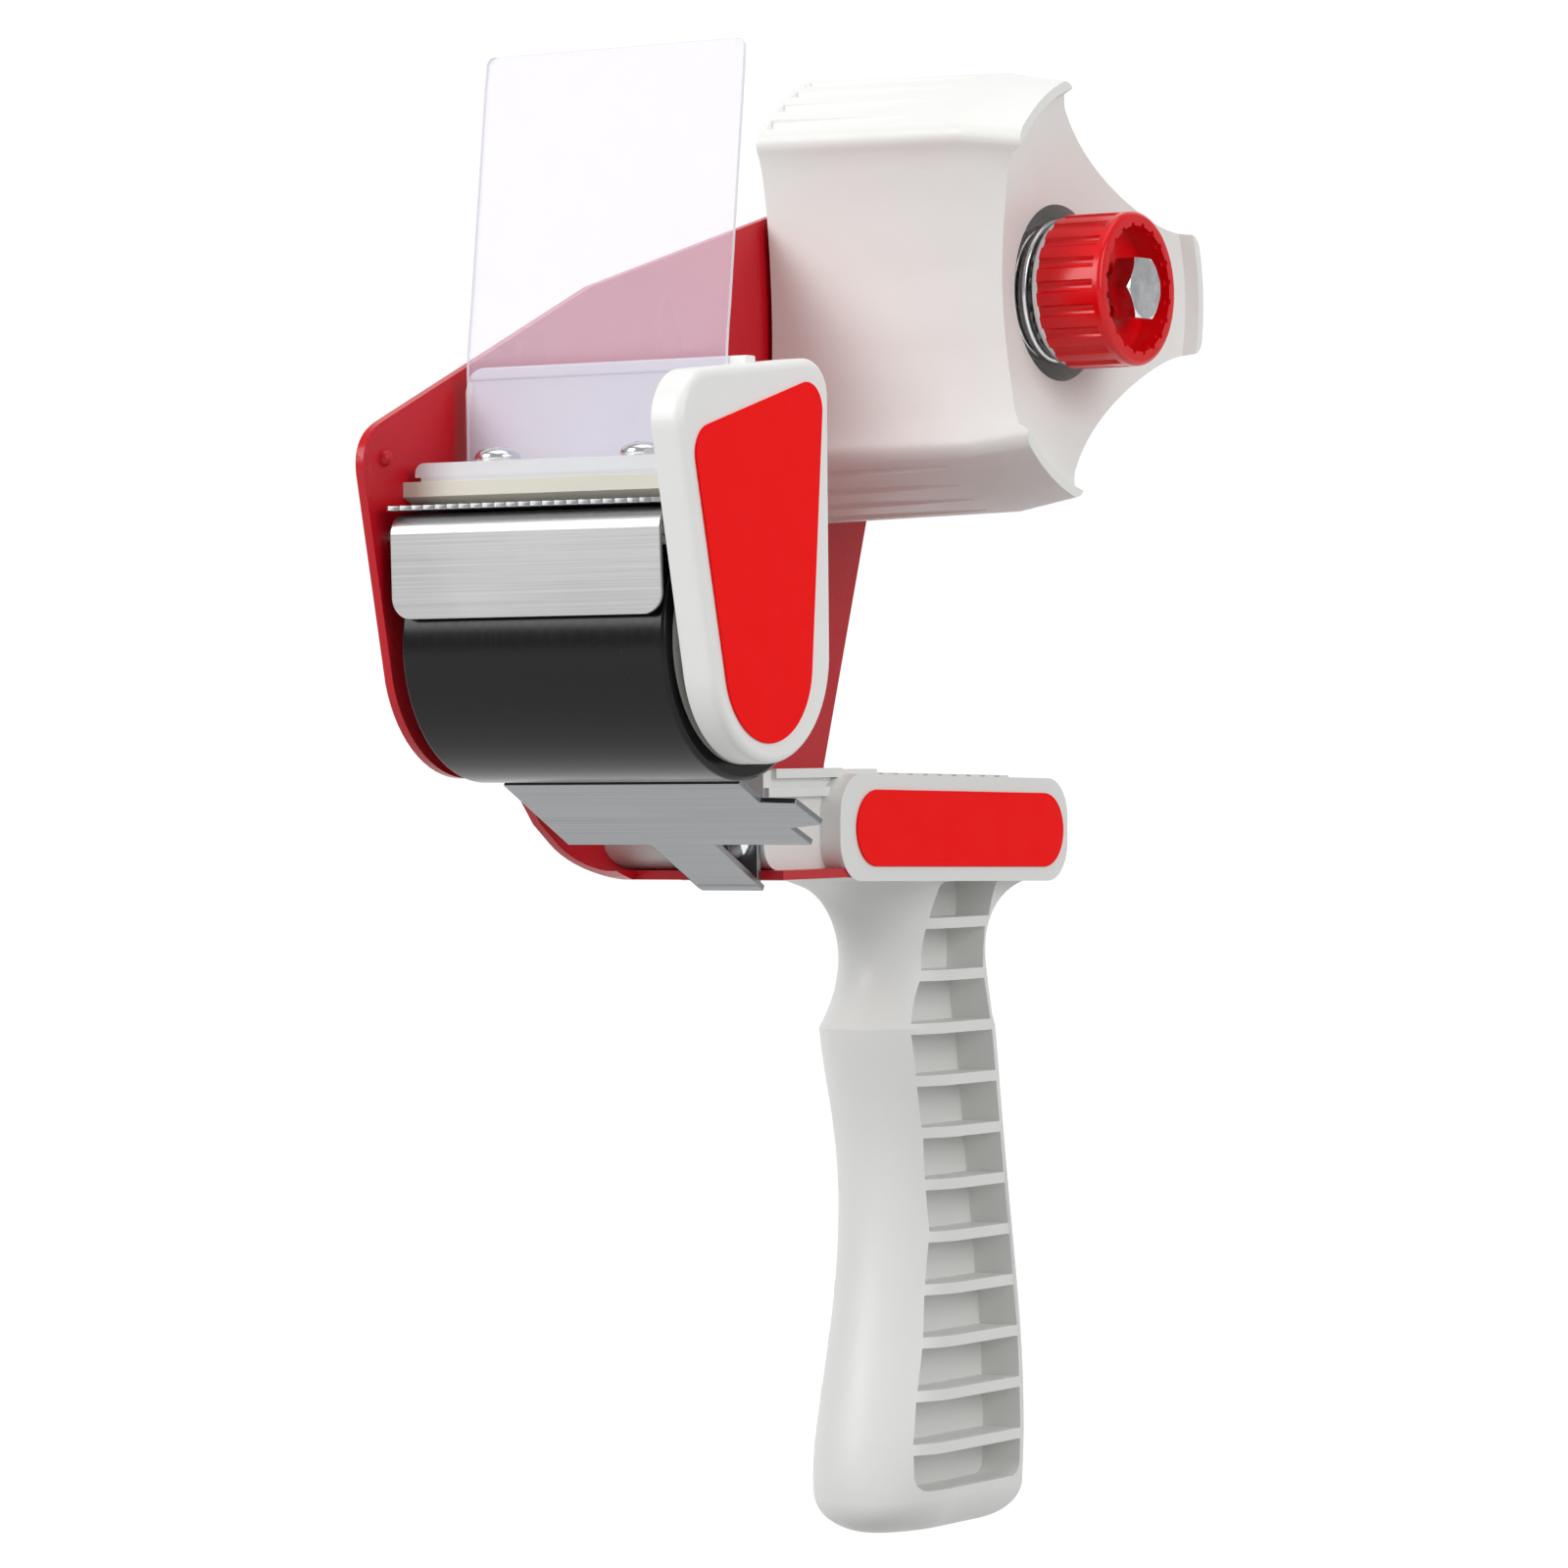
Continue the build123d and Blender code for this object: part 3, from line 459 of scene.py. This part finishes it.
def recalculate(mesh):
    """Joins a mesh's seams and turns its faces outwards."""
    work = bmesh.new()
    work.from_mesh(mesh)
    bmesh.ops.remove_doubles(work, verts=work.verts, dist=WELD / 2)
    bmesh.ops.recalc_face_normals(work, faces=work.faces)
    work.to_mesh(mesh)
    work.free()


COIL = coil_tree()
REPEAT = repeat_tree()


# ---- screws ----
def lathe(profile, steps=40):
    """A closed turned shape about Z from (radius, height) points that start and end on the axis."""
    work = bmesh.new()
    rings = []
    for radius, height in profile:
        if radius == 0:
            rings.append([work.verts.new((0, 0, height))])
        else:
            turns = [2 * math.pi * i / steps for i in range(steps)]
            ring = [(radius * math.cos(a), radius * math.sin(a), height) for a in turns]
            rings.append([work.verts.new(corner) for corner in ring])
    for low, high in zip(rings, rings[1:]):
        for i in range(steps):
            j = (i + 1) % steps
            corners = [low[i % len(low)], low[j % len(low)], high[j % len(high)], high[i % len(high)]]
            corners = list(dict.fromkeys(corners))
            if len(corners) > 2:
                work.faces.new(corners)
    bmesh.ops.recalc_face_normals(work, faces=work.faces)
    mesh = bpy.data.meshes.new("turned")
    work.to_mesh(mesh)
    work.free()
    return mesh


def screw_profile(head_r, head_h, shank_r, length):
    """Half outline of a pan-head screw: domed head, flat seat and ridged shank, as (radius, height)."""
    profile = [(0, head_h)]
    for i in range(1, 8):
        a = math.radians(12 * i)
        profile.append((head_r * math.sin(a), head_h * (0.3 + 0.7 * math.cos(a))))
    profile += [(head_r, head_h * 0.22), (head_r * 0.97, 0), (shank_r, 0)]
    pitch = shank_r * 0.44
    root_r = shank_r * 0.84
    depth = shank_r / 2
    while depth < length - shank_r:
        profile += [(root_r, -depth), (shank_r, -depth - pitch / 2)]
        depth += pitch
    point = shank_r / 5
    return profile + [(shank_r - point, -length + point), (0, -length)]


def pan_screw(head_r, head_h, shank_r, length):
    """A pan-head screw with a cross recess, its seat at the origin and its head up."""
    screw = new_piece("screw shape", lathe(screw_profile(head_r, head_h, shank_r, length)))
    work = bmesh.new()
    for turned in (0, math.pi / 2):
        slot_place = Matrix.Rotation(turned, 4, "Z") @ Matrix.Translation((0, 0, head_h))
        slot_size = Matrix.Diagonal((head_r * 1.05, head_r * 0.24, head_h * 1.1, 1))
        bmesh.ops.create_cube(work, size=1.0, matrix=slot_place @ slot_size)
    mesh = bpy.data.meshes.new("cross")
    work.to_mesh(mesh)
    work.free()
    cross = new_piece("cross", mesh)
    cut = screw.modifiers.new("recess", "BOOLEAN")
    cut.operation = "DIFFERENCE"
    cut.solver = "EXACT"
    cut.use_self = True
    cut.object = cross
    apply_modifiers(screw)
    bpy.data.objects.remove(cross)
    return screw


def islands(node):
    """Boxes of the separate pieces of a CAD node."""
    work = welded(node)
    left = set(work.verts)
    boxes = []
    while left:
        group = [left.pop()]
        for vert in group:
            for edge in vert.link_edges:
                other = edge.other_vert(vert)
                if other in left:
                    left.remove(other)
                    group.append(other)
        low = Vector(min(v.co[i] for v in group) for i in range(3))
        high = Vector(max(v.co[i] for v in group) for i in range(3))
        boxes.append((low, high))
    work.free()
    return sorted(boxes, key=lambda box: tuple(box[0]))


def set_screws(node, facing, head_h, shank_r):
    """Detailed screws in the places of a node's plain ones, their heads facing one way."""
    facing = Vector(facing)
    axis = max(range(3), key=lambda i: abs(facing[i]))
    across = (axis + 1) % 3
    spots = []
    for low, high in islands(node):
        seat = (low + high) / 2
        top = high[axis] if facing[axis] > 0 else low[axis]
        seat[axis] = top - facing[axis] * head_h
        spots.append(tuple(seat))
        head_r = (high[across] - low[across]) / 2
        length = high[axis] - low[axis] - head_h
    mesh = bpy.data.meshes.new(node)
    mesh.from_pydata(spots, [], [])
    shape = pan_screw(head_r, head_h, shank_r, length)
    screws = new_piece(node + ".heads", mesh)
    grow(screws, REPEAT, Shape=shape, Facing=facing, Finish=FINISH[SLOT_OF[node]])
    bpy.data.objects.remove(shape)
    shade(screws.data)
    stand_in(screws, node)


# ---- flap: one bent sheet from the bar up over the wall ----
FLAP_THICK = 0.7 * MM
FLAP_BEND = 2.2 * MM  # at the fold between the foot and the flap
FLAP_CORNER = 1.6 * MM  # rounding of the two free corners
FLAP_COLUMNS = 12


def flap_path(foot_low, foot_high, low, high):
    """Middle line of the sheet, as (x, z): along the bar, round the fold, up, and leaning back to the tip."""
    bend_z = foot_low.z + FLAP_THICK / 2
    root = Vector((high.x - FLAP_THICK / 2, foot_high.z))
    path = [Vector((foot_high.x - 0.1 * MM, bend_z)), Vector((root.x + FLAP_BEND, bend_z))]
    for i in range(1, 9):
        a = math.pi / 2 * i / 8
        round_x = root.x + FLAP_BEND - FLAP_BEND * math.sin(a)
        path.append(Vector((round_x, bend_z + FLAP_BEND - FLAP_BEND * math.cos(a))))
    path += [Vector((root.x, bend_z + (root.y - bend_z) * share)) for share in (0.4, 0.7, 0.85)]
    lean = math.atan2((high.x - FLAP_THICK) - low.x, high.z - root.y)
    tall = (high.z - root.y) / math.cos(lean) - 0.3 * MM
    for i in range(13):
        soft = min(1.0, i / 3)
        angle = lean * (0.5 + 0.5 * soft)
        path.append(root + Vector((-math.sin(angle), math.cos(angle))) * tall * (i / 12) ** 1.3)
    for share in (0.35, 0.6, 0.8, 0.92, 1.0):
        reach = tall + FLAP_CORNER * (share - 1.0)
        path.append(root + Vector((-math.sin(lean), math.cos(lean))) * reach)
    return root, path[:2] + sorted(path[2:], key=lambda point: point.y)


def flap_rows(work, path, half_y):
    """Front and back corners of the sheet, a row for each point of its path."""
    rows = []
    for i, point in enumerate(path):
        before = path[max(i - 1, 0)]
        after = path[min(i + 1, len(path) - 1)]
        way = (after - before).normalized()
        out = Vector((way.y, -way.x)) * FLAP_THICK / 2
        left = (path[-1] - point).length
        half = half_y
        if left < FLAP_CORNER:
            half -= FLAP_CORNER - math.sqrt(max(0, FLAP_CORNER**2 - (FLAP_CORNER - left) ** 2))
        across = [-half + 2 * half * j / FLAP_COLUMNS for j in range(FLAP_COLUMNS + 1)]
        front = []
        back = []
        for y in across:
            front.append(work.verts.new((point.x + out.x, y, point.y + out.y)))
            back.append(work.verts.new((point.x - out.x, y, point.y - out.y)))
        rows.append((front, back))
    return rows


def flap_sheet():
    foot_low, foot_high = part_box("flap_foot")
    low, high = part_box("wiper_flap")
    root, path = flap_path(foot_low, foot_high, low, high)
    work = bmesh.new()
    rows = flap_rows(work, path, (high.y - low.y) / 2)
    cut = []
    for (f0, b0), (f1, b1) in zip(rows, rows[1:]):
        for j in range(FLAP_COLUMNS):
            work.faces.new((f0[j], f0[j + 1], f1[j + 1], f1[j]))
            work.faces.new((b0[j], b1[j], b1[j + 1], b0[j + 1]))
        for j in (0, FLAP_COLUMNS):
            cut.append(work.faces.new((f0[j], f1[j], b1[j], b0[j])))
    for front, back in (rows[0], rows[-1]):
        for j in range(FLAP_COLUMNS):
            cut.append(work.faces.new((front[j], front[j + 1], back[j + 1], back[j])))
    # The edge faces take the second finish, the painted edge highlight.
    for face in cut:
        face.material_index = 1
    bmesh.ops.recalc_face_normals(work, faces=work.faces)
    mesh = bpy.data.meshes.new("flap")
    work.to_mesh(mesh)
    work.free()
    sheet = new_piece("flap_sheet", mesh)
    mesh.materials.append(FINISH["clear_flap"])
    mesh.materials.append(FLAP_EDGE_HIGHLIGHT)
    shade(mesh)
    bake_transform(sheet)
    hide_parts("wiper_flap", "flap_foot")


# ---- springs ----
CONE = 3.7 * MM  # how much narrower the brake spring is at its pocket end


def wind(node, turns, wire_r, cone=0.0):
    """A coil spring along Y in a node's box, narrower by cone at its low end."""
    low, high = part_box(node)
    middle = (low + high) / 2
    wide = (high.x - low.x) / 2 - wire_r
    coil = grow(
        new_piece(node + ".coil", bpy.data.meshes.new(node)),
        COIL,
        Turns=turns,
        Start_Radius=wide - cone,
        End_Radius=wide,
        Length=high.y - low.y - 2 * wire_r,
        Wire_Radius=wire_r,
        Place=Vector((middle.x, low.y + wire_r, middle.z)),
        Turn=Vector((-math.pi / 2, 0, 0)),
        Finish=FINISH[SLOT_OF[node]],
    )
    shade(coil.data)
    stand_in(coil, node)
    return coil


def springs():
    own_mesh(wind("tension_spring", 4.5, 0.85 * MM, CONE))
    wind("guard_spring", 8.0, 0.35 * MM)


# ---- the pieces ----
# rounding of a piece's edges, and the steps it is made in
EDGE = {
    "handle": (0.55 * MM, 3),
    "head_shell": (0.5 * MM, 3),
    "hub": (0.6 * MM, 3),
    "side_plate": (0.2 * MM, 2),
    "guide_plate": (0.18 * MM, 2),
    "blade": (0.05 * MM, 2),
}
PLAIN_EDGE = (0.25 * MM, 2)
# the way a node's screw heads face, the heads' height and the shanks' radius
SCREWS = {
    "flap_screws": ((0, 0, 1), 2.3 * MM, 1.5 * MM),
    "handle_screws": ((0, -1, 0), 2.3 * MM, 1.8 * MM),
    "bar_screw": ((0, -1, 0), 2.3 * MM, 1.8 * MM),
    "guide_screw": ((1, 0, 0), 2.1 * MM, 1.6 * MM),
}
DRAWN = {"wiper_flap", "flap_foot", "tension_spring", "guard_spring", *SCREWS}
for node in frame["nodes"]:
    if node not in DRAWN:
        refined(node, *EDGE.get(node, PLAIN_EDGE))
flap_sheet()
springs()
for node, (facing, head_h, shank_r) in SCREWS.items():
    set_screws(node, facing, head_h, shank_r)


# ---- floor and light ----
FLOOR_GAP = 0.002
FLOOR_WIDTH = 6.0
FLOOR_AHEAD = 3.0
FLOOR_BEHIND = 2.2
BACK_RISE = 3.0
BACK_BEND = 0.9  # radius of the sweep from the floor into the back
AIM = Vector((0.05, 0, -0.08))  # the middle of the dispenser


def sweep():
    """A floor that curves up into a backdrop, square on to the eye."""
    floor_z = cad_box[0].z - FLOOR_GAP
    bend_at = BACK_BEND - FLOOR_BEHIND
    profile = [(FLOOR_AHEAD, floor_z), (bend_at, floor_z)]
    for i in range(1, 13):
        a = math.pi / 2 * i / 12
        rise = floor_z + BACK_BEND - BACK_BEND * math.cos(a)
        profile.append((bend_at - BACK_BEND * math.sin(a), rise))
    profile.append((-FLOOR_BEHIND, floor_z + BACK_RISE))
    heading = math.radians(HEADING)
    out = Vector((math.cos(heading), math.sin(heading), 0))
    half = Vector((-out.y, out.x, 0)) * FLOOR_WIDTH / 2
    work = bmesh.new()
    rows = []
    for along, z in profile:
        middle = out * along + Vector((0, 0, z))
        rows.append((work.verts.new(middle - half), work.verts.new(middle + half)))
    for a, b in zip(rows, rows[1:]):
        work.faces.new((a[0], a[1], b[1], b[0]))
    mesh = bpy.data.meshes.new("floor")
    work.to_mesh(mesh)
    work.free()
    for face in mesh.polygons:
        face.use_smooth = True
    floor = new_piece("floor", mesh)
    t = Tree("pale floor")
    t.set(Base_Color=(0.2, 0.2, 0.2, 1), Roughness=0.9)
    t.set(Emission_Color=(1, 1, 1, 1), Emission_Strength=0.9)
    mesh.materials.append(t.material)
    floor.visible_diffuse = False


def lamp(name, place, size, power):
    """A square soft lamp aimed at the dispenser."""
    data = bpy.data.lights.new(name, "AREA")
    data.shape = "RECTANGLE"
    data.size = size
    data.size_y = size
    data.energy = power
    light = bpy.data.objects.new(name, data)
    bpy.context.scene.collection.objects.link(light)
    light.location = place
    light.rotation_euler = (AIM - Vector(place)).to_track_quat("-Z", "Y").to_euler()


def studio():
    sweep()
    lamp("key", (1.3, -0.7, 0.6), 0.8, 14)
    lamp("fill", (0.3, 1.4, 0.5), 0.9, 9)
    lamp("top", (0.1, 0.1, 1.5), 1.4, 7)
    world = bpy.context.scene.world or bpy.data.worlds.new("studio")
    bpy.context.scene.world = world
    world.use_nodes = True
    sky = world.node_tree.nodes["Background"]
    sky.inputs["Color"].default_value = (1, 1, 1, 1)
    sky.inputs["Strength"].default_value = 0.42
    bpy.context.scene.view_settings.view_transform = "Standard"


studio()
